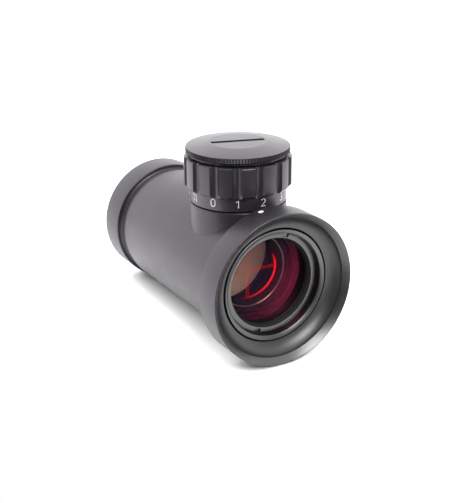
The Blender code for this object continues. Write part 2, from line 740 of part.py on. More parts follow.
def build():
    clear_scene()
    satin_black = make_material("satin_black_anodised", (0.035, 0.033, 0.036), 0.38, 0.6)
    gloss_black = make_material("black_anodised_rings", (0.03, 0.03, 0.032), 0.28, 0.7)
    matt_black = make_material("matt_black_inside", (0.012, 0.012, 0.013), 0.8)
    coated_glass = make_material("coated_glass", (0.35, 0.02, 0.10), 0.05)
    clear_glass = make_material("clear_glass", (0.7, 0.75, 0.78), 0.05)
    amber_glass = make_material("amber_glass", (0.62, 0.42, 0.28), 0.1)
    rubber = make_material("black_rubber", (0.015, 0.015, 0.015), 0.7)
    steel = make_material("bright_steel", (0.62, 0.62, 0.62), 0.25, 1.0)
    brass = make_material("brass", (0.7, 0.5, 0.2), 0.3, 1.0)
    lamp_red = make_material("lamp_red", (0.7, 0.02, 0.02), 0.15)
    board_green = make_material("board_green", (0.02, 0.16, 0.06), 0.5)
    tray_plastic = make_material("tray_plastic", (0.05, 0.05, 0.055), 0.5)
    cell_steel = make_material("cell_steel", (0.7, 0.7, 0.7), 0.3, 1.0)
    make_housing(satin_black)
    make_rear_ring(satin_black, clear_glass, rubber)
    make_front_optics(gloss_black, gloss_black, coated_glass, rubber)
    make_reticle(clear_glass, matt_black)
    make_filter_and_baffle(amber_glass, matt_black, matt_black)
    make_lamp(lamp_red, rubber, steel)
    make_post(brass, board_green)
    make_detent(steel, steel)
    make_knob(satin_black)
    make_dial_inside(brass, brass, rubber, tray_plastic, cell_steel)
    make_cap(satin_black, steel, rubber)


build()
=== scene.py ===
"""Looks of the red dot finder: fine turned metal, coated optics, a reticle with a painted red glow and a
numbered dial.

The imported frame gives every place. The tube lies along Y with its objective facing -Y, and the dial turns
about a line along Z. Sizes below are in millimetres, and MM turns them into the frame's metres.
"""

import json
import math

import bmesh
import bpy
from mathutils import Matrix, Vector


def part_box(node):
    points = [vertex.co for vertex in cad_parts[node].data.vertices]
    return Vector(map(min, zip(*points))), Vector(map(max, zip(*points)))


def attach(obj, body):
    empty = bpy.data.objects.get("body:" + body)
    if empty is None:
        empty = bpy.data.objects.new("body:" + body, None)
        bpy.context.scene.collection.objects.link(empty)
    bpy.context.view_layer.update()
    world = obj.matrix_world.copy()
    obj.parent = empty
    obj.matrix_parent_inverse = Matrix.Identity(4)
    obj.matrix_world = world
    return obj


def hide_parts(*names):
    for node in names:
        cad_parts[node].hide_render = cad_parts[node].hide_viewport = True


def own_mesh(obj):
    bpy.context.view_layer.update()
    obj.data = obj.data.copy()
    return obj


MM = 0.001
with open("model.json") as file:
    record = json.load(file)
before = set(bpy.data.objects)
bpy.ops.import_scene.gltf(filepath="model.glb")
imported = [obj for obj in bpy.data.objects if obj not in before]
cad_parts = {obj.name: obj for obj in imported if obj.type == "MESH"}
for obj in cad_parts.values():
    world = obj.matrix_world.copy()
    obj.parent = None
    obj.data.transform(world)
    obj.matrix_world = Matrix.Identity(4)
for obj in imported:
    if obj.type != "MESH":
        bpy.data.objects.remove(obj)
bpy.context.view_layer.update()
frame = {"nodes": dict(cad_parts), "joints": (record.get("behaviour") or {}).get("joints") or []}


def span(node, axis):
    """(lowest, highest) of a CAD node along an axis, in millimetres."""
    low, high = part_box(node)
    index = "xyz".index(axis)
    return low[index] / MM, high[index] / MM


def joint(name):
    return next(j for j in frame["joints"] if j["name"] == name)


# Places read from the frame
COLLAR_RADIUS = span("tube_housing", "x")[1]
AXIS_HEIGHT = span("tube_housing", "z")[1] - COLLAR_RADIUS
FRONT, SPIGOT_END = span("tube_housing", "y")
RING_FRONT, RING_BACK = span("rear_ring", "y")
REAR_RING_RADIUS = span("rear_ring", "x")[1]
CELL_FRONT, CELL_BACK = span("lens_cell", "y")
CELL_RADIUS = span("lens_cell", "x")[1]
RETAINER_FRONT, RETAINER_BACK = span("front_retaining_ring", "y")
RETAINER_RADIUS = span("front_retaining_ring", "x")[1]
LENS_FRONT = span("objective_lens", "y")[0]
LENS_BACK = span("objective_rear_element", "y")[1]
LENS_RADIUS = span("objective_lens", "x")[1]
PLATE_FRONT, PLATE_BACK = span("reticle_plate", "y")
PLATE_RADIUS = span("reticle_plate", "x")[1]
HOLDER_FRONT, HOLDER_BACK = span("reticle_holder", "y")
SLEEVE_RADIUS = span("reticle_holder", "x")[1]
SPACER_FRONT, SPACER_BACK = span("spacer_tube", "y")
FILTER_FRONT, FILTER_BACK = span("amber_filter", "y")
FILTER_RADIUS = span("amber_filter", "x")[1]
FILTER_RING_FRONT, FILTER_RING_BACK = span("filter_ring", "y")
BAFFLE_FRONT, BAFFLE_BACK = span("inner_baffle", "y")
WINDOW_FRONT, WINDOW_BACK = span("rear_window", "y")
WINDOW_RADIUS = span("rear_window", "x")[1]
DIAL_X, DIAL_Y = (value / MM for value in joint("dial_turn")["pos_m"][:2])
SKIRT_BOTTOM, GRIP_TOP = span("dial_knob", "z")
GRIP_RADIUS = span("dial_knob", "x")[1]
CAP_SPIGOT_BOTTOM, CAP_TOP = span("battery_cap", "z")
CAP_RADIUS = span("battery_cap", "x")[1]
SEAL_BOTTOM, SEAL_TOP = span("cap_seal", "z")
SEAL_RADIUS = span("cap_seal", "x")[1]
SPRING_LOW, SPRING_HIGH = span("detent_spring", "z")

# Tube and collar
THREAD_GAP = 0.3  # clearance of screwed and seated pieces
TUBE_RADIUS = 15.7
COLLAR_BACK = -23.8
CHAMFER_START = 23.6
CHAMFER_END = 26.8
CHAMFER_DROP = 0.5
SPIGOT_RADIUS = 14.6
BORE_RADIUS = 13.5
CELL_BORE_RADIUS = 14.4
LIP_OUTER = 18.8
LIP_INNER = 17.45
LIP_DEPTH = 1.4
LIP_LAND = 0.15  # flat between the lip and the bowl
LIP_STEP = 0.02
LIP_SWELL = 12.0  # degrees that the lip's profile turns outwards over its width
BOWL_TURN = 48.0  # degrees that the bowl behind the lip turns inwards
MOUTH_DEPTH = 4.2
MOUTH_INNER = 14.5
FLAT_LENGTH = 42.0
FLAT_WIDTH = 12.0
FLAT_DEPTH = 6.0  # height of the block that cuts the flat
TAPPED_OFFSET = 10.0
TAPPED_RADIUS = 1.25
TAPPED_SINK = 1.4  # how much wider than the hole its countersink's cone is, below the flat
TAPPED_EDGE = 0.1
TAPPED_SINK_TOP = 0.3
TAPPED_TOP = 3.0
REAR_SHOULDER = 0.9  # the hollow neck in front of the rear ring
REAR_APERTURE = 12.9
REAR_FLANGE = 1.6
REAR_FUNNEL_RADIUS = 13.9
REAR_FUNNEL_DEPTH = 1.0

# Optics
CELL_FACE_SLOPE = 0.6
CELL_SEAT_WIDTH = 1.1
CELL_SEAT_THICKNESS = 1.0
RETAINER_BEVEL = 1.25
RETAINER_INNER = 10.9
RETAINER_BORE = 0.5
RETAINER_LIFT = 0.4  # from the cell's shelf to the retaining ring
NOTCH_ANGLE = 71.0
NOTCH_LENGTH = 2.0
NOTCH_WIDTH = 1.6
LENS_SAG = 0.6
LENS_STEPS = 20
LENS_EDGE = 0.15
PLATE_SEAT_WIDTH = 1.2
SPACER_NECK = 0.9
SPACER_LIP = 1.0
FILTER_RING_WIDTH = 1.4
BAFFLE_WALL = 0.7
BAFFLE_RIDGE = 0.6
BAFFLE_RIDGE_LENGTH = 0.8
BAFFLE_RIDGES = 3

# Turret
BOSS_RADIUS = 12.0
BOSS_TOP = 32.35
POCKET_RADIUS = 8.5
POCKET_FLOOR = 30.6
BOSS_START = 4.0  # the boss starts this far above the tube's axis, inside the bore
SKIRT_RADIUS = 11.9
SKIRT_BORE = 9.2
WEB_BOTTOM = 36.0
WEB_TOP = 38.0
WEB_BORE = 3.6
O_RING_SEAT = (4.6, 36.9)  # radius and top of the recess round the dial's post
GRIP_BOTTOM = 36.1
GRIP_CHAMFER = 0.6
GRIP_OVERHANG = 0.75
FLUTES = 15
FLUTE_HALF_ANGLE = 5.2
FLUTE_DEPTH = 0.9
FLUTE_PHASE = -85.5
FLUTE_FACETS = 36  # round one land and one flute
MOUTH_RADIUS = 11.3
KNURL_TEETH = 112
KNURL_DEPTH = 0.26
CAP_BAND_BOTTOM = 44.66
CAP_BAND_TOP = 45.9
CAP_DISC_RADIUS = 7.05
CAP_SPIGOT_RADIUS = 11.0
CAP_SPIGOT_INNER = 10.35
SLOT_LENGTH = 13.2
SLOT_WIDTH = 1.6
SLOT_DEPTH = 1.0
SLOT_ANGLE = -18.3
THREAD_PITCH = 0.8
THREAD_DEPTH = 0.22
THREAD_START = 0.2  # plain length at the spigot's lower end
THREAD_RUN_OUT = 0.45  # plain length under the cap's band
THREAD_STEPS = 36
SPRING_WIRE = 0.11
SPRING_COIL = 0.65
SPRING_TURNS = 3.5
SPRING_STEPS = 112

# Marks
DIGIT_HEIGHT = 2.0
DIGIT_WIDTH = 1.3
DIGIT_STROKE = 0.18
DIGIT_FLATTENING = 0.3  # height of the paint over the stroke's half width
DIGIT_ADVANCE = 1.5
NARROW_ADVANCE = 1.0  # between the two figures of 11
DIGIT_MIDDLE = 34.6
DIGIT_COUNT = 12
SHOWN_DIGIT = 2
SHOWN_AZIMUTH = -90.6
DOT_X = -3.3
DOT_Y = -25.4
DOT_RADIUS = 0.75
DOT_DEPTH = 0.25
DOT_TAPER = 0.1
RETICLE_HIGH = 7.2
RETICLE_WIDE = 8.15  # the etched ring is a little wider than high, so that it looks round from the side
RETICLE_X = -1.0
RETICLE_LINE = 0.5
CROSS_GAP = 0.2  # half the space between the two lines of an arm
CROSS_LINE = 0.13
ETCH_LEVEL = 0.03  # the lit lines lie this far in front of the plate
STOP_INNER = 9.5
STOP_OUTER = PLATE_RADIUS - 1.25
STOP_THICKNESS = 0.15
STOP_LEVEL = 0.08  # from the stop to the plate
STOP_EDGE = 0.3

# Painted glow of the reticle, standing in for the lamp's light on its lines: degrees round its ring, from +X
# towards +Z, and shares for its arms
RING_TOP_FADE = (28, 5)
RING_LOW_FADE = (-112, -20)
ARM_MEAN = 0.41
ARM_SIDEWAYS = 0.10
ARM_UPWARDS = -0.175

# Coating: one minus the cosine of the angle at which its reflection starts and ends turning crimson
OBLIQUE_START = 0.2
OBLIQUE_FULL = 0.31

# Facets
ROUND = 256
SMOOTH = 192
SMALL = 48
SPARE = 0.5  # how far a cutting shape reaches past what it cuts
SKIN = 0.02  # how far a cutting shape stays inside a wall that it must not touch
ARC_STEP = 18.0  # most degrees that one facet of a rounded corner turns

ALONG_TUBE = Matrix.Translation((0, 0, AXIS_HEIGHT * MM)) @ Matrix.Rotation(math.radians(-90), 4, "X")
ALONG_DIAL = Matrix.Translation((DIAL_X * MM, DIAL_Y * MM, 0))


# ---------------------------------------------------------------- shapes

def rounded(points):
    """The closed outline with an arc at each corner that gives a third number, the arc's radius."""
    outline = []
    for before, corner, after in zip(points[-1:] + points[:-1], points, points[1:] + points[:1]):
        here = Vector(corner[:2])
        if len(corner) < 3:
            outline.append(tuple(here))
            continue
        into = (here - Vector(before[:2])).normalized()
        out = (Vector(after[:2]) - here).normalized()
        turn = into.angle(out)
        inward = (out - into * into.dot(out)).normalized()
        start = here - into * corner[2] * math.tan(turn / 2)
        centre = start + inward * corner[2]
        steps = max(2, math.ceil(math.degrees(turn) / ARC_STEP))
        for step in range(steps + 1):
            angle = turn * step / steps
            outline.append(tuple(centre + corner[2] * (into * math.sin(angle) - inward * math.cos(angle))))
    return outline


def bowed(start, end, turn):
    """Points between start and end on an arc that turns by this many degrees, inwards if positive."""
    chord = Vector(end) - Vector(start)
    half = math.radians(turn) / 2
    radius = chord.length / 2 / math.sin(half)
    side = Vector((chord.y, -chord.x)).normalized()
    steps = max(3, math.ceil(abs(turn) / 6))
    points = []
    for step in range(1, steps):
        angle = half * (2 * step / steps - 1)
        along = chord.length / 2 + radius * math.sin(angle)
        points.append(tuple(Vector(start) + chord.normalized() * along
                            - side * radius * (math.cos(angle) - math.cos(half))))
    return points


def lathe(outline, segments=SMOOTH, place=ALONG_TUBE, reach=None):
    """A closed solid turned from a closed outline of (along, radius).

    reach(along, radius, angle) gives the radius at an angle, where it isn't the same all round.
    """
    mesh = bmesh.new()
    rings = []
    for along, radius in outline:
        if radius == 0:
            rings.append([mesh.verts.new((0, 0, along * MM))] * segments)
            continue
        ring = []
        for step in range(segments):
            angle = math.tau * step / segments
            out = (reach(along, radius, angle) if reach else radius) * MM
            ring.append(mesh.verts.new((out * math.cos(angle), out * math.sin(angle), along * MM)))
        rings.append(ring)
    for near, far in zip(rings, rings[1:] + rings[:1]):
        for step in range(segments):
            following = (step + 1) % segments
            corners = list(dict.fromkeys([near[step], near[following], far[following], far[step]]))
            if len(corners) > 2:
                mesh.faces.new(corners)
    bmesh.ops.recalc_face_normals(mesh, faces=mesh.faces)
    mesh.transform(place)
    return mesh


def moved(x, y, z):
    """The matrix that moves by millimetres."""
    return Matrix.Translation(Vector((x, y, z)) * MM)


def disc(front, back, radius, edge):
    """Outline of a solid disc with softened edges."""
    return rounded([(front, 0), (front, radius, edge), (back, radius, edge), (back, 0)])


def from_axis(point):
    """Distance of a point in millimetres from the tube's axis."""
    return math.hypot(point.x, point.z - AXIS_HEIGHT)


def block(size, place):
    """A box of this size in millimetres, centred on the place."""
    mesh = bmesh.new()
    bmesh.ops.create_cube(mesh, size=1.0, matrix=place @ Matrix.Diagonal((*(Vector(size) * MM), 1.0)))
    return mesh


def washer(low, high, outer, inner, edge=0.1):
    """Outline of a ring with softened outer edges."""
    return rounded([(low, inner), (low, outer, edge), (high, outer, edge), (high, inner)])


def loop(middle, radius, thickness, points=16):
    """Outline of a round-section ring."""
    turns = [math.tau * step / points for step in range(points)]
    return [(middle + thickness * math.sin(turn), radius + thickness * math.cos(turn)) for turn in turns]


def data_of(mesh, name, sharp=28.0):
    data = bpy.data.meshes.new(name)
    mesh.to_mesh(data)
    mesh.free()
    data.shade_smooth()
    data.set_sharp_from_angle(angle=math.radians(sharp))
    return data


def carved(name, mesh, added=(), removed=()):
    """The mesh after the added bmeshes are joined to it and then the removed ones are cut from it."""
    obj = bpy.data.objects.new(name, data_of(mesh, name))
    bpy.context.scene.collection.objects.link(obj)
    tools = []
    for operation, shapes in (("UNION", added), ("DIFFERENCE", removed)):
        for shape in shapes:
            tool = bpy.data.objects.new(name + "_tool", data_of(shape, name + "_tool"))
            bpy.context.scene.collection.objects.link(tool)
            modifier = obj.modifiers.new(tool.name, "BOOLEAN")
            modifier.operation = operation
            modifier.object = tool
            modifier.solver = "EXACT"
            tools.append(tool)
    graph = bpy.context.evaluated_depsgraph_get()
    result = bmesh.new()
    result.from_object(obj, graph)
    for helper in tools + [obj]:
        bpy.data.objects.remove(helper)
    return result


def piece(name, mesh, material, body, stands_for=(), sharp=28.0):
    """Makes a visible piece from a bmesh in the row frame and lets it ride on its body."""
    obj = bpy.data.objects.new(name, data_of(mesh, name, sharp))
    bpy.context.scene.collection.objects.link(obj)
    obj.data.materials.append(material)
    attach(obj, body)
    if stands_for:
        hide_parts(*stands_for)
    return obj


# ---------------------------------------------------------------- materials

def node(tree, kind, inputs=None, **settings):
    """Adds a shader node. An input's value is a plain value or another node's output."""
    made = tree.nodes.new("ShaderNode" + kind)
    for key, value in settings.items():
        setattr(made, key, value)
    for key, value in (inputs or {}).items():
        if isinstance(value, bpy.types.NodeSocket):
            tree.links.new(value, made.inputs[key])
        else:
            made.inputs[key].default_value = value
    return made


def maths(tree, operation, first, second=0.0):
    return node(tree, "Math", {0: first, 1: second}, operation=operation).outputs[0]


def blank(name):
    """(material, its emptied node tree, its output node)"""
    material = bpy.data.materials.new(name)
    material.use_nodes = True
    tree = material.node_tree
    tree.nodes.clear()
    return material, tree, tree.nodes.new("ShaderNodeOutputMaterial")


def surface_steps(tree, about_dial=False):
    """(coordinates, distance travelled along a turned profile) in metres."""
    place = node(tree, "TexCoord").outputs["Object"]
    axes = node(tree, "SeparateXYZ", {0: place}).outputs
    if about_dial:
        along = axes["Z"]
        across = (axes["X"], maths(tree, "SUBTRACT", axes["Y"], DIAL_Y * MM))
    else:
        along = axes["Y"]
        across = (axes["X"], maths(tree, "SUBTRACT", axes["Z"], AXIS_HEIGHT * MM))
    squares = [maths(tree, "POWER", part, 2.0) for part in across]
    radius = maths(tree, "SQRT", maths(tree, "ADD", *squares))
    return place, maths(tree, "ADD", along, radius)


def uneven(tree, share, colour, darker=0.85, lighter=1.0):
    """The colour, between darker and lighter times itself."""
    dark, light = ((*(part * level for part in colour), 1) for level in (darker, lighter))
    return node(tree, "Mix", {0: share, 6: dark, 7: light}, data_type="RGBA").outputs[2]


def anodised(name, colour, roughness, about_dial=False, grain=0.5, turning=0.35, metallic=0.0, specular=0.5,
             tint=(1.0, 1.0, 1.0)):
    """Blasted and anodised metal: fine pits, faint turning lines and slightly uneven dye."""
    material, tree, output = blank(name)
    place, along = surface_steps(tree, about_dial)
    pits = node(tree, "TexNoise", {"Vector": place, "Scale": 9000.0, "Detail": 2.0}).outputs["Fac"]
    patches = node(tree, "TexNoise", {"Vector": place, "Scale": 160.0, "Detail": 3.0}).outputs["Fac"]
    travelled = {"W": maths(tree, "MULTIPLY", along, 9000.0), "Scale": 1.0, "Detail": 2.0}
    lines = node(tree, "TexNoise", travelled, noise_dimensions="1D").outputs["Fac"]
    height = maths(tree, "ADD", maths(tree, "MULTIPLY", pits, grain), maths(tree, "MULTIPLY", lines, turning))
    bump = node(tree, "Bump", {"Height": height, "Strength": 0.5, "Distance": 0.00002})
    dye = uneven(tree, patches, colour, 0.8, 1.2)
    worn = maths(tree, "ADD", patches, maths(tree, "MULTIPLY", lines, 0.5))
    spread = node(tree, "MapRange", {"Value": worn, "From Min": 0.3, "From Max": 1.2,
                                     "To Min": roughness - 0.05, "To Max": roughness + 0.05}).outputs[0]
    shader = node(tree, "BsdfPrincipled", {"Base Color": dye, "Roughness": spread, "Metallic": metallic,
                                           "Specular IOR Level": specular, "Specular Tint": (*tint, 1),
                                           "Normal": bump.outputs[0]})
    tree.links.new(shader.outputs[0], output.inputs[0])
    return material


def metal(name, colour, roughness, about_dial=True):
    """Bright turned or pressed metal with fine lines and slight tarnish."""
    return anodised(name, colour, roughness, about_dial, grain=0.1, turning=0.5, metallic=1.0)


def rubber(name, colour=(0.012, 0.012, 0.013), roughness=0.55):
    return anodised(name, colour, roughness, grain=0.8, turning=0.0, specular=0.4)


def paint(name, colour):
    """Thick marking paint with a slightly uneven face."""
    material, tree, output = blank(name)
    place = node(tree, "TexCoord").outputs["Object"]
    cover = node(tree, "TexNoise", {"Vector": place, "Scale": 3500.0, "Detail": 2.0}).outputs["Fac"]
    shade = uneven(tree, cover, colour)
    bump = node(tree, "Bump", {"Height": cover, "Strength": 0.3, "Distance": 0.00002})
    shader = node(tree, "BsdfPrincipled", {"Base Color": shade, "Roughness": 0.45, "Normal": bump.outputs[0]})
    tree.links.new(shader.outputs[0], output.inputs[0])
    return material


def glass(name, through, mirrored, roughness, edge=0.9, most=0.6, oblique=None):
    """Thin-coated glass: what shows through it is tinted, and its coating mirrors in a colour of its own.

    oblique is the colour that the coating mirrors once the surface is seen at a steeper angle. Towards a
    grazing angle it mirrors plain light, with edge as its brightness and most as its share.
    """
    material, tree, output = blank(name)
    place = node(tree, "TexCoord").outputs["Object"]
    haze = node(tree, "TexNoise", {"Vector": place, "Scale": 220.0, "Detail": 3.0}).outputs["Fac"]
    rough = node(tree, "MapRange", {"Value": haze, "From Min": 0.3, "From Max": 0.7,
                                    "To Min": roughness * 0.7, "To Max": roughness * 1.3}).outputs[0]
    clear = node(tree, "BsdfTransparent", {"Color": (*through, 1)})
    slant = node(tree, "LayerWeight", {"Blend": 0.5}).outputs["Facing"]
    turning = {"Value": slant, "From Min": OBLIQUE_START, "From Max": OBLIQUE_FULL}
    shift = node(tree, "MapRange", turning, interpolation_type="SMOOTHSTEP").outputs[0]
    shade = node(tree, "Mix", {0: shift, 6: (*mirrored, 1), 7: (*(oblique or mirrored), 1)}, data_type="RGBA")
    coat = node(tree, "BsdfAnisotropic", {"Color": shade.outputs[2], "Roughness": rough})
    both = node(tree, "AddShader", {0: clear.outputs[0], 1: coat.outputs[0]})
    shine = node(tree, "BsdfAnisotropic", {"Color": (edge, edge, edge, 1), "Roughness": rough})
    share = maths(tree, "MULTIPLY", maths(tree, "POWER", slant, 4.0), most)
    mixed = node(tree, "MixShader", {0: share, 1: both.outputs[0], 2: shine.outputs[0]})
    tree.links.new(mixed.outputs[0], output.inputs[0])
    return material


def eased(tree, value, start, end):
    """0 at start and 1 at end, with a smooth ramp between them. Both are in degrees."""
    ends = {"Value": value, "From Min": math.radians(start), "From Max": math.radians(end)}
    return node(tree, "MapRange", ends, interpolation_type="SMOOTHSTEP").outputs[0]


def ring_level(tree, turn):
    """Painted brightness round the reticle's ring: full towards +X and below, fading to nothing on the other
    side.
    """
    return maths(tree, "MULTIPLY", eased(tree, turn, *RING_TOP_FADE), eased(tree, turn, *RING_LOW_FADE))


def arm_level(tree, turn):
    """Painted brightness of the cross's arms: the lower and the +X arm are the strongest."""
    across = maths(tree, "MULTIPLY", maths(tree, "COSINE", turn), ARM_SIDEWAYS)
    upward = maths(tree, "MULTIPLY", maths(tree, "SINE", turn), ARM_UPWARDS)
    return maths(tree, "ADD", maths(tree, "ADD", across, upward), ARM_MEAN)


def glow(name, colour, strength, level_of):
    """Etched lines with a painted glow, an emission standing in for light from the plate's edge. level_of
    gives their painted brightness at an angle round the axis.
    """
    material, tree, output = blank(name)
    place = node(tree, "TexCoord").outputs["Object"]
    axes = node(tree, "SeparateXYZ", {0: place}).outputs
    across = maths(tree, "SUBTRACT", axes["X"], RETICLE_X * MM)
    rise = maths(tree, "SUBTRACT", axes["Z"], AXIS_HEIGHT * MM)
    level = level_of(tree, maths(tree, "ARCTAN2", rise, across))
    speckle = node(tree, "TexNoise", {"Vector": place, "Scale": 4000.0}).outputs["Fac"]
    patchy = node(tree, "MapRange", {"Value": speckle, "To Min": 0.8, "To Max": 1.2}).outputs[0]
    power = maths(tree, "MULTIPLY", patchy, strength)
    # painted glow: an emission on the etched lines, which no lamp lights
    lamp = node(tree, "Emission", {"Color": (*colour, 1), "Strength": power})
    clear = node(tree, "BsdfTransparent")
    mixed = node(tree, "MixShader", {0: level, 1: clear.outputs[0], 2: lamp.outputs[0]})
    tree.links.new(mixed.outputs[0], output.inputs[0])
    return material


def gel(name, colour):
    """Dyed filter glass that scatters a little of the light that crosses it."""
    material, tree, output = blank(name)
    place = node(tree, "TexCoord").outputs["Object"]
    cloud = node(tree, "TexNoise", {"Vector": place, "Scale": 90.0, "Detail": 3.0}).outputs["Fac"]
    shade = uneven(tree, cloud, colour, 0.9)
    front = node(tree, "BsdfDiffuse", {"Color": shade})
    behind = node(tree, "BsdfTranslucent", {"Color": shade})
    scatter = node(tree, "AddShader", {0: front.outputs[0], 1: behind.outputs[0]})
    clear = node(tree, "BsdfTransparent", {"Color": (*(c ** 0.5 for c in colour), 1)})
    mixed = node(tree, "MixShader", {0: 0.5, 1: clear.outputs[0], 2: scatter.outputs[0]})
    tree.links.new(mixed.outputs[0], output.inputs[0])
    return material


def board(name):
    """Printed board: green mask over faint tracks."""
    material, tree, output = blank(name)
    place = node(tree, "TexCoord").outputs["Object"]
    cells = node(tree, "TexVoronoi", {"Vector": place, "Scale": 700.0}, feature="DISTANCE_TO_EDGE").outputs[0]
    line = node(tree, "MapRange", {"Value": cells, "From Min": 0.05, "From Max": 0.09}).outputs[0]
    track, mask = (0.08, 0.30, 0.10, 1), (0.015, 0.12, 0.04, 1)
    shade = node(tree, "Mix", {0: line, 6: track, 7: mask}, data_type="RGBA")
    shader = node(tree, "BsdfPrincipled", {"Base Color": shade.outputs[2], "Roughness": 0.35})
    tree.links.new(shader.outputs[0], output.inputs[0])
    return material


def epoxy(name, colour):
    """Clear dyed resin of a lamp."""
    material, tree, output = blank(name)
    place = node(tree, "TexCoord").outputs["Object"]
    cloud = node(tree, "TexNoise", {"Vector": place, "Scale": 900.0}).outputs["Fac"]
    shade = uneven(tree, cloud, colour, 0.7)
    shader = node(tree, "BsdfPrincipled", {"Base Color": shade, "Roughness": 0.12,
                                           "Transmission Weight": 0.5, "Emission Color": (*colour, 1),
                                           "Emission Strength": 1.5})
    tree.links.new(shader.outputs[0], output.inputs[0])
    return material


BLACK = (0.009, 0.0082, 0.0098)
SHEEN = (0.95, 0.86, 1.0)
TUBE_BLACK = anodised("tube_satin_black", BLACK, 0.40, specular=0.6, tint=SHEEN)
DIAL_BLACK = anodised("dial_satin_black", (0.016, 0.0148, 0.017), 0.34, about_dial=True,
                      specular=0.65, tint=SHEEN)
RING_BLACK = metal("ring_polished_black", (0.11, 0.11, 0.112), 0.36, about_dial=False)
LIP_BLACK = metal("lip_polished_black", (0.10, 0.10, 0.102), 0.38, about_dial=False)
BOWL_BLACK = anodised("mouth_satin_black", (0.009, 0.009, 0.0093), 0.41, grain=0.3, turning=0.5, specular=0.8)
INSIDE_BLACK = anodised("inside_matt_black", (0.008, 0.008, 0.009), 0.7,
                        grain=0.8, turning=0.2, specular=0.25)
OBJECTIVE_COAT = glass("objective_coating", (0.70, 0.66, 0.70), (0.003, 0.001, 0.004), 0.12, most=0.25,
                       oblique=(0.055, 0.0015, 0.010))
BLUE_COAT = glass("inner_coating", (0.93, 0.93, 0.92), (0.002, 0.001, 0.004), 0.08, edge=0.3)
CLEAR_GLASS = glass("clear_glass", (0.90, 0.92, 0.92), (0.02, 0.022, 0.024), 0.03)
AMBER = gel("amber_filter_glass", (0.98, 0.80, 0.58))
# painted red glow on the reticle's lines, with painted brightness round the ring and along the arms
RING_PAINTED_GLOW = glow("reticle_ring_painted_glow", (1.0, 0.006, 0.004), 1.8, ring_level)
ARM_PAINTED_GLOW = glow("reticle_arm_painted_glow", (1.0, 0.006, 0.004), 1.8, arm_level)
WHITE_PAINT = paint("white_paint", (0.78, 0.78, 0.76))
DOT_PAINT = paint("dot_paint", (0.50, 0.50, 0.50))
RUBBER = rubber("black_rubber")
SEAL_RUBBER = rubber("seal_rubber", (0.02, 0.02, 0.02), 0.25)
STEEL = metal("bright_steel", (0.60, 0.60, 0.61), 0.25)
BRASS = metal("brass", (0.72, 0.52, 0.22), 0.28)
GILT = metal("gilt_edge", (0.52, 0.40, 0.22), 0.3, about_dial=False)
BOARD = board("board_green")
TRAY = anodised("tray_plastic", (0.035, 0.035, 0.04), 0.45, about_dial=True, grain=0.5, turning=0.0)
LAMP = epoxy("lamp_red", (0.85, 0.03, 0.02))


# ---------------------------------------------------------------- tube

def dot_place():
    """Puts +Z on the collar's outward direction at the index dot."""
    lean = math.asin(DOT_X / COLLAR_RADIUS)
    spot = Vector((DOT_X, DOT_Y, AXIS_HEIGHT + COLLAR_RADIUS * math.cos(lean))) * MM
    return Matrix.Translation(spot) @ Matrix.Rotation(lean, 4, "Y")


def tube_outline(mouth_end, lip_end):
    """The turned profile of tube and collar: the outside first, then back through the bore to the lip."""
    bore_step = CELL_BACK + THREAD_GAP
    lip_start = (FRONT, LIP_OUTER)
    bowl_start = (lip_end[0] + LIP_LAND, lip_end[1] - LIP_STEP)
    bowl_end = (mouth_end, MOUTH_INNER)
    return rounded([
        (FRONT, COLLAR_RADIUS, 0.22),
        (COLLAR_BACK, COLLAR_RADIUS, 0.2),
        (COLLAR_BACK, TUBE_RADIUS),
        (CHAMFER_START, TUBE_RADIUS),
        (CHAMFER_END, TUBE_RADIUS - CHAMFER_DROP, 0.1),
        (CHAMFER_END, SPIGOT_RADIUS),
        (SPIGOT_END, SPIGOT_RADIUS, 0.2),
        (SPIGOT_END, BORE_RADIUS),
        (bore_step, BORE_RADIUS),
        (bore_step, CELL_BORE_RADIUS),
        (mouth_end + THREAD_GAP, CELL_BORE_RADIUS),
        bowl_end,
        *reversed(bowed(bowl_start, bowl_end, BOWL_TURN)),
        bowl_start,
        lip_end,
        *reversed(bowed(lip_start, lip_end, -LIP_SWELL)),
        lip_start,
    ])


def bore_outline():
    """What the boss must not fill: the bore's stretch under it, a hair inside the bore's wall."""
    step = CELL_BACK + THREAD_GAP - SKIN
    low = DIAL_Y - BOSS_RADIUS - SPARE
    high = DIAL_Y + BOSS_RADIUS + SPARE
    return [
        (low, 0),
        (low, CELL_BORE_RADIUS - SKIN),
        (step, CELL_BORE_RADIUS - SKIN),
        (step, BORE_RADIUS - SKIN),
        (high, BORE_RADIUS - SKIN),
        (high, 0),
    ]


def tube_cuts():
    """The bore under the boss, the boss's pocket, the milled flat, the dot's dimple and two tapped holes."""
    high = BOSS_TOP + SPARE
    pocket = [(POCKET_FLOOR, 0), (POCKET_FLOOR, POCKET_RADIUS), (high, POCKET_RADIUS), (high, 0)]
    flat = block((FLAT_WIDTH, FLAT_LENGTH, FLAT_DEPTH), moved(0, 0, -FLAT_DEPTH / 2))
    dimple = [(-DOT_DEPTH, 0), (-DOT_DEPTH, DOT_RADIUS - DOT_TAPER), (SPARE, DOT_RADIUS), (SPARE, 0)]
    hole = [
        (-1, 0),
        (-1, TAPPED_RADIUS + TAPPED_SINK),
        (TAPPED_SINK_TOP, TAPPED_RADIUS + TAPPED_EDGE),
        (TAPPED_SINK_TOP, TAPPED_RADIUS),
        (TAPPED_TOP, TAPPED_RADIUS),
        (TAPPED_TOP, 0),
    ]
    return [
        lathe(bore_outline(), ROUND),
        lathe(pocket, SMOOTH, ALONG_DIAL),
        flat,
        lathe(dimple, SMALL, dot_place()),
        *(lathe(hole, SMALL, moved(0, side * TAPPED_OFFSET, 0)) for side in (-1, 1)),
    ]


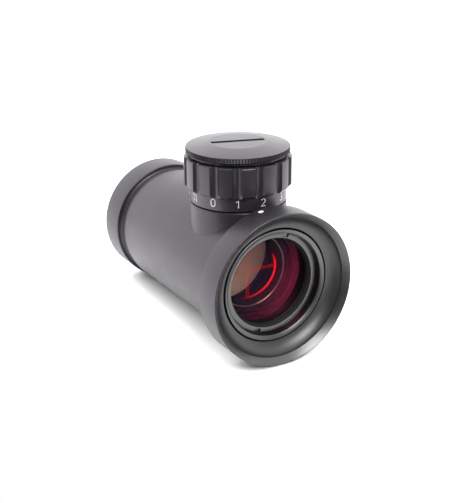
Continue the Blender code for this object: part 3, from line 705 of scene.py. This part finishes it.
def make_tube():
    mouth_end = FRONT + MOUTH_DEPTH
    line = FRONT + LIP_DEPTH
    low = AXIS_HEIGHT + BOSS_START
    boss = rounded([(low, 0), (low, BOSS_RADIUS), (BOSS_TOP, BOSS_RADIUS, 0.25), (BOSS_TOP, 0)])
    mesh = carved("tube", lathe(tube_outline(mouth_end, (line, LIP_INNER)), ROUND),
                  [lathe(boss, SMOOTH, ALONG_DIAL)], tube_cuts())
    body = piece("tube_body", mesh, TUBE_BLACK, "housing", ["tube_housing"])
    for material in (LIP_BLACK, INSIDE_BLACK, BOWL_BLACK):
        body.data.materials.append(material)
    lip, inside, bowl = 1, 2, 3
    for face in body.data.polygons:
        middle = face.center / MM
        radius = from_axis(middle)
        if middle.y < line + 0.05 and radius < COLLAR_RADIUS - 0.1:
            face.material_index = lip
        elif middle.y < mouth_end + 0.05 and radius < LIP_INNER:
            face.material_index = bowl
        elif middle.y > mouth_end + 0.05 and radius < CELL_BORE_RADIUS + 0.2:
            face.material_index = inside


def make_rear_ring():
    thread = SPIGOT_RADIUS + THREAD_GAP
    neck = thread + 0.05
    outline = rounded([
        (RING_FRONT - REAR_SHOULDER, thread),
        (RING_FRONT - REAR_SHOULDER, neck),
        (RING_FRONT, neck, REAR_SHOULDER - 0.05),
        (RING_FRONT, REAR_RING_RADIUS, 0.3),
        (RING_BACK, REAR_RING_RADIUS, 0.4),
        (RING_BACK, REAR_FUNNEL_RADIUS, 0.15),
        (RING_BACK - REAR_FUNNEL_DEPTH, REAR_APERTURE),
        (RING_BACK - REAR_FLANGE, REAR_APERTURE),
        (RING_BACK - REAR_FLANGE, thread),
    ])
    piece("rear_ring_shell", lathe(outline, ROUND), TUBE_BLACK, "housing", ["rear_ring"])
    window = disc(WINDOW_FRONT, WINDOW_BACK, WINDOW_RADIUS, 0.15)
    piece("rear_glass", lathe(window), CLEAR_GLASS, "housing", ["rear_window"])


# ---------------------------------------------------------------- optics

def make_cell():
    seat = CELL_BACK - CELL_SEAT_THICKNESS
    shelf = RETAINER_BACK + RETAINER_LIFT
    thread = RETAINER_RADIUS + THREAD_GAP
    pocket = LENS_RADIUS + THREAD_GAP
    cell = rounded([
        (CELL_FRONT, CELL_RADIUS, 0.2),
        (CELL_BACK, CELL_RADIUS, 0.2),
        (CELL_BACK, pocket - CELL_SEAT_WIDTH),
        (seat, pocket - CELL_SEAT_WIDTH),
        (seat, pocket),
        (shelf, pocket),
        (shelf, thread),
        (CELL_FRONT + CELL_FACE_SLOPE, thread, 0.2),
    ])
    piece("lens_cell_ring", lathe(cell), RING_BLACK, "housing", ["lens_cell"])


def spanner_notches():
    """Two blocks on opposite sides of the retaining ring's front."""
    notches = []
    for half_turn in (0, 180):
        angle = math.radians(NOTCH_ANGLE + half_turn)
        x, z = RETAINER_RADIUS * math.cos(angle), RETAINER_RADIUS * math.sin(angle)
        place = moved(x, RETAINER_FRONT, AXIS_HEIGHT + z) @ Matrix.Rotation(-angle, 4, "Y")
        notches.append(block((NOTCH_LENGTH, NOTCH_WIDTH, NOTCH_WIDTH), place))
    return notches


def make_retainer():
    face_inner = RETAINER_RADIUS - RETAINER_BEVEL
    ring = rounded([
        (RETAINER_FRONT, RETAINER_RADIUS, 0.15),
        (RETAINER_BACK, RETAINER_RADIUS),
        (RETAINER_BACK, RETAINER_INNER),
        (RETAINER_BACK - RETAINER_BORE, RETAINER_INNER, 0.1),
        (RETAINER_FRONT, face_inner, 0.08),
    ])
    mesh = carved("retainer", lathe(ring), [], spanner_notches())
    retainer = piece("lens_retainer", mesh, RING_BLACK, "housing", ["front_retaining_ring"])
    retainer.visible_glossy = False
    retainer.data.materials.append(INSIDE_BLACK)
    for face in retainer.data.polygons:
        if from_axis(face.center / MM) < face_inner - 0.05:
            face.material_index = 1


def make_front_lens():
    dome = []
    for step in range(LENS_STEPS + 1):
        share = step / LENS_STEPS
        dome.append((LENS_FRONT + LENS_SAG * share ** 2, LENS_RADIUS * share))
    back = [(LENS_BACK - LENS_EDGE, LENS_RADIUS), (LENS_BACK, LENS_RADIUS - LENS_EDGE), (LENS_BACK, 0)]
    lens = piece("objective_doublet", lathe(dome + back), OBJECTIVE_COAT, "housing",
                 ["objective_lens", "objective_rear_element"])
    lens.data.materials.append(BLUE_COAT)
    lens.data.materials.append(INSIDE_BLACK)
    back_face, rim = 1, 2
    for face in lens.data.polygons:
        if face.normal.y > 0.5:
            face.material_index = back_face
        elif face.normal.y > -0.5:
            face.material_index = rim


def flat_band(mesh, corners):
    """Adds a face just in front of the plate, from points (x, z) measured from the tube's axis."""
    level = PLATE_FRONT - ETCH_LEVEL
    mesh.faces.new([mesh.verts.new((x * MM, level * MM, (AXIS_HEIGHT + z) * MM)) for x, z in corners])


def ring_lines():
    mesh = bmesh.new()
    for step in range(SMOOTH):
        turns = [math.tau * (step + more) / SMOOTH for more in (0, 1)]
        inner, outer = [], []
        for edge, side in ((inner, -0.5), (outer, 0.5)):
            wide, high = RETICLE_WIDE + side * RETICLE_LINE, RETICLE_HIGH + side * RETICLE_LINE
            edge += [(RETICLE_X + wide * math.cos(turn), high * math.sin(turn)) for turn in turns]
        flat_band(mesh, [inner[0], outer[0], outer[1], inner[1]])
    return mesh


def cross_lines():
    """Two thin lines for each of the four arms, from near the middle to the ring."""
    mesh = bmesh.new()
    start = CROSS_GAP + CROSS_LINE
    for quarter in range(4):
        turn = Matrix.Rotation(math.radians(90 * quarter), 2)
        reach = (RETICLE_HIGH if quarter % 2 else RETICLE_WIDE) - RETICLE_LINE / 2
        for near, far in ((CROSS_GAP, start), (-start, -CROSS_GAP)):
            corners = [(start, near), (reach, near), (reach, far), (start, far)]
            flat_band(mesh, [tuple(turn @ Vector(corner) + Vector((RETICLE_X, 0))) for corner in corners])
    return mesh


def make_reticle():
    plate = disc(PLATE_FRONT, PLATE_BACK, PLATE_RADIUS, 0.1)
    piece("reticle_glass", lathe(plate), BLUE_COAT, "housing", ["reticle_plate"])
    # the reticle's lines carry a painted glow, not light from the lamp
    lines = (("reticle_ring", ring_lines(), RING_PAINTED_GLOW), ("reticle_cross", cross_lines(), ARM_PAINTED_GLOW))
    for name, mesh, material in lines:
        bmesh.ops.remove_doubles(mesh, verts=mesh.verts, dist=1e-7)
        bmesh.ops.recalc_face_normals(mesh, faces=mesh.faces)
        figure = piece(name, mesh, material, "housing")
        figure.visible_glossy = False


def make_field_stop():
    """A thin blackened stop in front of the reticle plate, with a bright rolled edge."""
    back = PLATE_FRONT - STOP_LEVEL
    front = back - STOP_THICKNESS
    plate = [(front, STOP_INNER), (front, STOP_OUTER), (back, STOP_OUTER), (back, STOP_INNER)]
    piece("field_stop", lathe(plate), INSIDE_BLACK, "housing")
    edge = loop(front, STOP_INNER, STOP_EDGE / 2, 12)
    piece("field_stop_edge", lathe(edge), GILT, "housing")


def make_reticle_mount(seat, pocket):
    face = PLATE_FRONT - THREAD_GAP
    outline = rounded([
        (HOLDER_FRONT, SLEEVE_RADIUS),
        (HOLDER_BACK, SLEEVE_RADIUS),
        (HOLDER_BACK, pocket),
        (face, pocket),
        (face, seat),
        (HOLDER_FRONT, seat, 0.2),
    ])
    piece("reticle_mount", lathe(outline), INSIDE_BLACK, "housing", ["reticle_holder"])


def make_spacer(nose, pocket):
    """The sleeve between the plate and the filter. Its nose reaches into the reticle's mount."""
    body = SPACER_FRONT + SPACER_NECK
    lip_front = SPACER_BACK - SPACER_LIP
    lip = PLATE_RADIUS - 0.2
    outline = rounded([
        (SPACER_FRONT, PLATE_RADIUS),
        (body, PLATE_RADIUS),
        (body, SLEEVE_RADIUS),
        (SPACER_BACK, SLEEVE_RADIUS),
        (SPACER_BACK, lip),
        (lip_front, lip, 0.1),
        (lip_front, pocket),
        (body + THREAD_GAP, pocket),
        (body + THREAD_GAP, nose),
        (SPACER_FRONT, nose),
    ])
    piece("spacer_sleeve", lathe(outline), INSIDE_BLACK, "housing", ["spacer_tube"])


def make_filter():
    glass_disc = disc(FILTER_FRONT, FILTER_BACK, FILTER_RADIUS, 0.1)
    piece("filter_glass", lathe(glass_disc), AMBER, "housing", ["amber_filter"])
    ring = washer(FILTER_RING_FRONT, FILTER_RING_BACK, SLEEVE_RADIUS, SLEEVE_RADIUS - FILTER_RING_WIDTH)
    piece("filter_lock_ring", lathe(ring), INSIDE_BLACK, "housing", ["filter_ring"])


def make_baffle():
    wall = SLEEVE_RADIUS - BAFFLE_WALL
    ridge = wall - BAFFLE_RIDGE
    pitch = (BAFFLE_BACK - BAFFLE_FRONT) / BAFFLE_RIDGES
    outline = [(BAFFLE_FRONT, SLEEVE_RADIUS), (BAFFLE_BACK, SLEEVE_RADIUS)]
    for index in range(BAFFLE_RIDGES):
        back = BAFFLE_BACK - index * pitch
        front = back - BAFFLE_RIDGE_LENGTH
        outline += [(back, ridge), (front, ridge), (front, wall), (back - pitch, wall)]
    piece("baffle_sleeve", lathe(outline), INSIDE_BLACK, "housing", ["inner_baffle"])


def make_inner_sleeves():
    seat = PLATE_RADIUS - PLATE_SEAT_WIDTH
    pocket = PLATE_RADIUS + THREAD_GAP
    make_reticle_mount(seat, pocket)
    make_spacer(seat + 0.2, pocket)
    make_filter()
    make_baffle()


# ---------------------------------------------------------------- dial and cap

def flute(along, radius, angle):
    """Scooped flutes round the grip, running out through its chamfers."""
    if along < GRIP_BOTTOM + 0.01 or radius < MOUTH_RADIUS + 0.5:
        return radius
    pitch = 360 / FLUTES
    turn = (math.degrees(angle) - FLUTE_PHASE) / pitch
    from_middle = (0.5 - abs(turn - round(turn))) * pitch
    if from_middle >= FLUTE_HALF_ANGLE:
        return radius
    half_chord = math.radians(FLUTE_HALF_ANGLE) * GRIP_RADIUS
    scoop = (half_chord ** 2 + FLUTE_DEPTH ** 2) / (2 * FLUTE_DEPTH)
    offset = half_chord * from_middle / FLUTE_HALF_ANGLE
    depth = math.sqrt(scoop ** 2 - offset ** 2) - (scoop - FLUTE_DEPTH)
    return min(radius, max(GRIP_RADIUS - depth, SKIRT_RADIUS + 0.05))


def make_dial():
    seat_radius, seat_top = O_RING_SEAT
    outline = rounded([
        (SKIRT_BOTTOM, SKIRT_BORE),
        (SKIRT_BOTTOM, SKIRT_RADIUS, 0.2),
        (GRIP_BOTTOM, SKIRT_RADIUS),
        (GRIP_BOTTOM + 0.02, SKIRT_RADIUS + GRIP_OVERHANG),
        (GRIP_BOTTOM + GRIP_CHAMFER, GRIP_RADIUS, 0.2),
        (GRIP_TOP, GRIP_RADIUS, 0.35),
        (GRIP_TOP, MOUTH_RADIUS, 0.2),
        (WEB_TOP, MOUTH_RADIUS),
        (WEB_TOP, WEB_BORE),
        (seat_top, WEB_BORE),
        (seat_top, seat_radius),
        (WEB_BOTTOM, seat_radius),
        (WEB_BOTTOM, SKIRT_BORE),
    ])
    mesh = lathe(outline, FLUTES * FLUTE_FACETS, ALONG_DIAL, flute)
    piece("dial_shell", mesh, DIAL_BLACK, "dial", ["dial_knob"])


def wrap(mesh, radius, middle_angle, height):
    """Wraps a flat mesh (x across, y up, z out, in millimetres) round the dial."""
    for vert in mesh.verts:
        angle = middle_angle + vert.co.x / radius
        out = radius + vert.co.z
        place = Vector((DIAL_X + out * math.cos(angle), DIAL_Y + out * math.sin(angle), height + vert.co.y))
        vert.co = place * MM


def arc(x, y, wide, high, start, end):
    """Points of an elliptical arc, from one angle to another in degrees."""
    steps = max(2, round(abs(end - start) / ARC_STEP))
    angles = [math.radians(start + (end - start) * step / steps) for step in range(steps + 1)]
    return [(x + wide * math.cos(angle), y + high * math.sin(angle)) for angle in angles]


def figure_strokes():
    """The centre lines of each figure, in a box that runs from -1 to 1 both ways."""
    six = [arc(0.15, -0.4, 1.1, 1.4, 110, 180) + arc(0, -0.4, 0.95, 0.6, 180, 540)]
    return {
        "0": [arc(0, 0.35, 1, 0.65, 0, 180) + arc(0, -0.35, 1, 0.65, 180, 360) + [(1, 0.35)]],
        "1": [[(-0.7, 0.55), (0.15, 1), (0.15, -1)]],
        "2": [arc(0, 0.42, 0.95, 0.58, 160, -30) + [(-1, -1), (1, -1)]],
        "3": [arc(0, 0.5, 0.9, 0.5, 150, -90), arc(0, -0.5, 1, 0.5, 90, -150)],
        "4": [[(0.45, -1), (0.45, 1), (-1, -0.35), (1, -0.35)]],
        "5": [[(0.85, 1), (-0.75, 1), (-0.85, 0.1)] + arc(0, -0.35, 1, 0.65, 140, -150)],
        "6": six,
        "7": [[(-1, 1), (1, 1), (-0.3, -1)]],
        "8": [arc(0, 0.5, 0.8, 0.5, -90, 270), arc(0, -0.5, 1, 0.5, 90, 450)],
        "9": [[(-x, -y) for x, y in six[0]]],
    }


def tube_mesh(lines, thickness):
    """A bmesh of round rods along lines of (x, y, z) points, all in metres."""
    curve = bpy.data.curves.new("rods", "CURVE")
    curve.dimensions = "3D"
    curve.bevel_depth = thickness / 2
    curve.bevel_resolution = 4
    curve.use_fill_caps = True
    for line in lines:
        path = curve.splines.new("POLY")
        path.points.add(len(line) - 1)
        for point, place in zip(path.points, line):
            point.co = (*place, 1)
    holder = bpy.data.objects.new("rods", curve)
    bpy.context.scene.collection.objects.link(holder)
    graph = bpy.context.evaluated_depsgraph_get()
    mesh = bmesh.new()
    mesh.from_mesh(bpy.data.meshes.new_from_object(holder.evaluated_get(graph)))
    bpy.data.objects.remove(holder)
    return mesh


def figure_mesh(text):
    """A flat painted number in millimetres, centred on the origin."""
    strokes = figure_strokes()
    advance = NARROW_ADVANCE if text == "11" else DIGIT_ADVANCE
    half_width = (DIGIT_WIDTH - DIGIT_STROKE) / 2
    half_height = (DIGIT_HEIGHT - DIGIT_STROKE) / 2
    lines = []
    for index, figure in enumerate(text):
        shift = (index - (len(text) - 1) / 2) * advance
        for stroke in strokes[figure]:
            lines.append([(shift + x * half_width, y * half_height, 0) for x, y in stroke])
    mesh = tube_mesh(lines, DIGIT_STROKE)
    for vert in mesh.verts:
        vert.co.z *= DIGIT_FLATTENING
    return mesh


def make_digits():
    for number in range(DIGIT_COUNT):
        mesh = figure_mesh(str(number))
        azimuth = math.radians(SHOWN_AZIMUTH + (number - SHOWN_DIGIT) * 360 / DIGIT_COUNT)
        wrap(mesh, SKIRT_RADIUS + 0.01, azimuth, DIGIT_MIDDLE)
        piece(f"dial_number_{number}", mesh, WHITE_PAINT, "dial", sharp=60.0)


def make_index_dot():
    """White paint in a drilled dimple on the collar, with a dished face."""
    middle = (-DOT_DEPTH * 0.7, 0)
    edge = (-0.03, DOT_RADIUS - 0.02)
    dish = [(-DOT_DEPTH, 0), (-DOT_DEPTH, DOT_RADIUS - DOT_TAPER), edge, *bowed(edge, middle, -40), middle]
    piece("index_dot", lathe(dish, SMALL, dot_place()), DOT_PAINT, "housing")


def ridged(radius, turn, depth):
    """The radius less a triangular groove once every whole turn."""
    return radius - depth * abs(2 * (turn - math.floor(turn)) - 1)


def knurl(along, radius, angle):
    """Fine teeth round the cap's band. Elsewhere the cap's thread decides."""
    if along < CAP_BAND_BOTTOM + 0.02 or along > CAP_BAND_TOP - 0.005 or radius < CAP_RADIUS - 0.15:
        return thread(along, radius, angle)
    return ridged(radius, angle * KNURL_TEETH / math.tau, KNURL_DEPTH)


def thread(along, radius, angle):
    """A helical thread on the cap's spigot."""
    starts, ends = CAP_SPIGOT_BOTTOM + THREAD_START, CAP_BAND_BOTTOM - THREAD_RUN_OUT
    if along > ends or along < starts or radius < CAP_SPIGOT_RADIUS - 0.1:
        return radius
    return ridged(radius, along / THREAD_PITCH - angle / math.tau, THREAD_DEPTH)


def make_cap():
    low = CAP_SPIGOT_BOTTOM + THREAD_START
    length = CAP_BAND_BOTTOM - CAP_SPIGOT_BOTTOM - 0.25
    heights = [low + length * step / THREAD_STEPS for step in range(THREAD_STEPS + 1)]
    outline = rounded([
        (CAP_BAND_BOTTOM, CAP_SPIGOT_RADIUS),
        (CAP_BAND_BOTTOM, CAP_RADIUS, 0.12),
        (CAP_BAND_TOP, CAP_RADIUS, 0.12),
        (CAP_TOP, CAP_DISC_RADIUS, 0.3),
        (CAP_TOP, 0),
        (CAP_BAND_BOTTOM, 0),
        (CAP_BAND_BOTTOM, CAP_SPIGOT_INNER),
        (CAP_SPIGOT_BOTTOM, CAP_SPIGOT_INNER),
        (CAP_SPIGOT_BOTTOM, CAP_SPIGOT_RADIUS - 0.2),
    ]) + [(height, CAP_SPIGOT_RADIUS) for height in heights]
    place = moved(DIAL_X, DIAL_Y, CAP_TOP) @ Matrix.Rotation(math.radians(SLOT_ANGLE), 4, "Z")
    slot = block((SLOT_LENGTH, SLOT_WIDTH, SLOT_DEPTH * 2), place)
    mesh = carved("cap", lathe(outline, KNURL_TEETH * 4, ALONG_DIAL, knurl), [], [slot])
    piece("cap_shell", mesh, DIAL_BLACK, "cap", ["battery_cap"])
    middle = (SEAL_BOTTOM + SEAL_TOP) / 2
    thickness = (SEAL_TOP - SEAL_BOTTOM) / 2
    seal = lathe(loop(middle, SEAL_RADIUS - thickness, thickness), SMOOTH, ALONG_DIAL)
    piece("cap_o_ring", seal, SEAL_RUBBER, "cap_ring", ["cap_seal"])


def make_spring():
    """The click ball's spring, which on the real finder shortens as the ball is pressed; here it is drawn at
    one length.
    """
    x, y = (sum(span("detent_spring", axis)) / 2 for axis in "xy")
    low, high = SPRING_LOW + SPRING_WIRE, SPRING_HIGH - SPRING_WIRE
    line = []
    for step in range(SPRING_STEPS + 1):
        share = step / SPRING_STEPS
        angle = math.tau * SPRING_TURNS * share
        round_axis = Vector((math.cos(angle), math.sin(angle), 0)) * SPRING_COIL
        line.append((Vector((x, y, low + (high - low) * share)) + round_axis) * MM)
    mesh = tube_mesh([line], 2 * SPRING_WIRE * MM)
    spring = piece("click_spring", mesh, STEEL, "housing", ["detent_spring"])
    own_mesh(spring)


def finish_inner_parts():
    """Gives each CAD node that stays in view when the finder is opened its material."""
    finishes = {
        RUBBER: ("rear_gasket", "lens_gasket", "led_sleeve", "dial_o_ring"),
        LAMP: ("led_lamp",),
        STEEL: ("led_lead_positive", "led_lead_negative", "cap_contact", "battery", "detent_ball",
                "dial_clip"),
        BRASS: ("dial_post", "switch_wiper", "battery_contact"),
        BOARD: ("switch_board",),
        TRAY: ("battery_tray",),
    }
    for material, names in finishes.items():
        for name in names:
            obj = frame["nodes"][name]
            if not obj.material_slots:
                obj.data.materials.append(material)
            for holder in obj.material_slots:
                holder.material = material


# ---------------------------------------------------------------- stage

VIEW_AZIMUTH = -29.91
VIEW_ELEVATION = 21.14
VIEW_ROLL = -0.68
VIEW_DISTANCE = 267.3
VIEW_TARGET = (1.0, -1.0, 15.2)
LENS_LENGTH = 73.63
CLIP = (0.01, 20.0)
LIGHT_AIM = (0.0, 0.0, 18.0)
WORLD_BRIGHT = 2.2
WORLD_DARK = 0.12
WORLD_DARK_WAY = (-23, 8)  # azimuth and elevation of the middle of the dark side
WORLD_FADE = (-0.1, 0.75)  # cosines of the angles from it at which the fade starts and ends
FLOOR_GAP = 0.02
FLOOR_HALF = 600.0
FLOOR_EDGE = 140.0  # how far the floor reaches towards the viewer
FLOOR_NEAR_EDGE = 38.0  # and on the left, where the dark surroundings show in the collar instead
FLOOR_SPLIT = -10.0


def direction(azimuth, elevation):
    """The way from the object towards a viewer at this azimuth and elevation, in degrees."""
    turn, rise = math.radians(azimuth), math.radians(elevation)
    return Vector((math.sin(turn) * math.cos(rise), -math.cos(turn) * math.cos(rise), math.sin(rise)))


def make_camera():
    data = bpy.data.cameras.new("camera")
    data.lens = LENS_LENGTH
    data.clip_start, data.clip_end = CLIP
    camera = bpy.data.objects.new("camera", data)
    bpy.context.scene.collection.objects.link(camera)
    back = direction(VIEW_AZIMUTH, VIEW_ELEVATION)
    roll = Matrix.Rotation(math.radians(VIEW_ROLL), 4, "Z")
    place = moved(*(Vector(VIEW_TARGET) + back * VIEW_DISTANCE))
    camera.matrix_world = place @ back.to_track_quat("Z", "Y").to_matrix().to_4x4() @ roll
    bpy.context.scene.camera = camera


def area_light(name, azimuth, elevation, distance, size, power):
    """A square light, size metres wide, that faces the finder from distance metres away."""
    data = bpy.data.lights.new(name, "AREA")
    data.size = size
    data.energy = power
    lamp = bpy.data.objects.new(name, data)
    bpy.context.scene.collection.objects.link(lamp)
    way = direction(azimuth, elevation)
    place = Vector(LIGHT_AIM) * MM + way * distance
    lamp.matrix_world = Matrix.Translation(place) @ way.to_track_quat("Z", "Y").to_matrix().to_4x4()
    return lamp


def make_world():
    """White surroundings, darker on the viewer's side; the viewer sees plain white beyond the floor."""
    world = bpy.data.worlds.new("studio")
    bpy.context.scene.world = world
    world.use_nodes = True
    tree = world.node_tree
    tree.nodes.clear()
    way = node(tree, "TexCoord").outputs["Generated"]
    dark_way = direction(*WORLD_DARK_WAY)
    facing = node(tree, "VectorMath", {0: way, 1: dark_way}, operation="DOT_PRODUCT").outputs["Value"]
    fade = {"Value": facing, "From Min": WORLD_FADE[0], "From Max": WORLD_FADE[1],
            "To Min": WORLD_BRIGHT, "To Max": WORLD_DARK}
    level = node(tree, "MapRange", fade, interpolation_type="SMOOTHSTEP").outputs[0]
    around = node(tree, "Background", {"Color": (1, 1, 1, 1), "Strength": level})
    seen = node(tree, "Background", {"Color": (1, 1, 1, 1), "Strength": 1.0})
    direct = node(tree, "LightPath").outputs["Is Camera Ray"]
    mixed = node(tree, "MixShader", {0: direct, 1: around.outputs[0], 2: seen.outputs[0]})
    node(tree, "OutputWorld", {0: mixed.outputs[0]})


def make_floor():
    """A white sheet under the collar's rear edge and the rear ring, which the finder rests on."""
    material, tree, output = blank("floor_white")
    place = node(tree, "TexCoord").outputs["Object"]
    tone = node(tree, "TexNoise", {"Vector": place, "Scale": 12.0}).outputs["Fac"]
    shade = node(tree, "Mix", {0: tone, 6: (0.86, 0.86, 0.86, 1), 7: (0.90, 0.90, 0.90, 1)}, data_type="RGBA")
    shader = node(tree, "BsdfPrincipled", {"Base Color": shade.outputs[2], "Roughness": 0.4,
                                           "Specular IOR Level": 0.2})
    tree.links.new(shader.outputs[0], output.inputs[0])
    low = AXIS_HEIGHT - COLLAR_RADIUS - FLOOR_GAP
    ring_low = AXIS_HEIGHT - REAR_RING_RADIUS - FLOOR_GAP
    slope = (ring_low - low) / (RING_BACK - COLLAR_BACK)
    mesh = bmesh.new()
    corners = [
        (-FLOOR_HALF, -FLOOR_NEAR_EDGE),
        (FLOOR_SPLIT, -FLOOR_NEAR_EDGE),
        (FLOOR_SPLIT, -FLOOR_EDGE),
        (FLOOR_HALF, -FLOOR_EDGE),
        (FLOOR_HALF, FLOOR_HALF),
        (-FLOOR_HALF, FLOOR_HALF),
    ]
    places = [Vector((x, y, low + (y - COLLAR_BACK) * slope)) * MM for x, y in corners]
    mesh.faces.new([mesh.verts.new(place) for place in places])
    floor = bpy.data.objects.new("floor", data_of(mesh, "floor"))
    bpy.context.scene.collection.objects.link(floor)
    floor.data.materials.append(material)


def light_stage():
    area_light("key", azimuth=-7.5, elevation=42, distance=0.5, size=0.24, power=2.9)
    fill = area_light("floor_fill", azimuth=-100, elevation=60, distance=0.6, size=0.4, power=3.6)
    fill.visible_glossy = False
    scene = bpy.context.scene
    scene.view_settings.view_transform = "Standard"
    scene.cycles.transparent_max_bounces = 24


make_tube()
make_rear_ring()
make_cell()
make_retainer()
make_front_lens()
make_reticle()
make_field_stop()
make_inner_sleeves()
make_dial()
make_digits()
make_index_dot()
make_cap()
make_spring()
finish_inner_parts()
make_camera()
make_world()
make_floor()
light_stage()
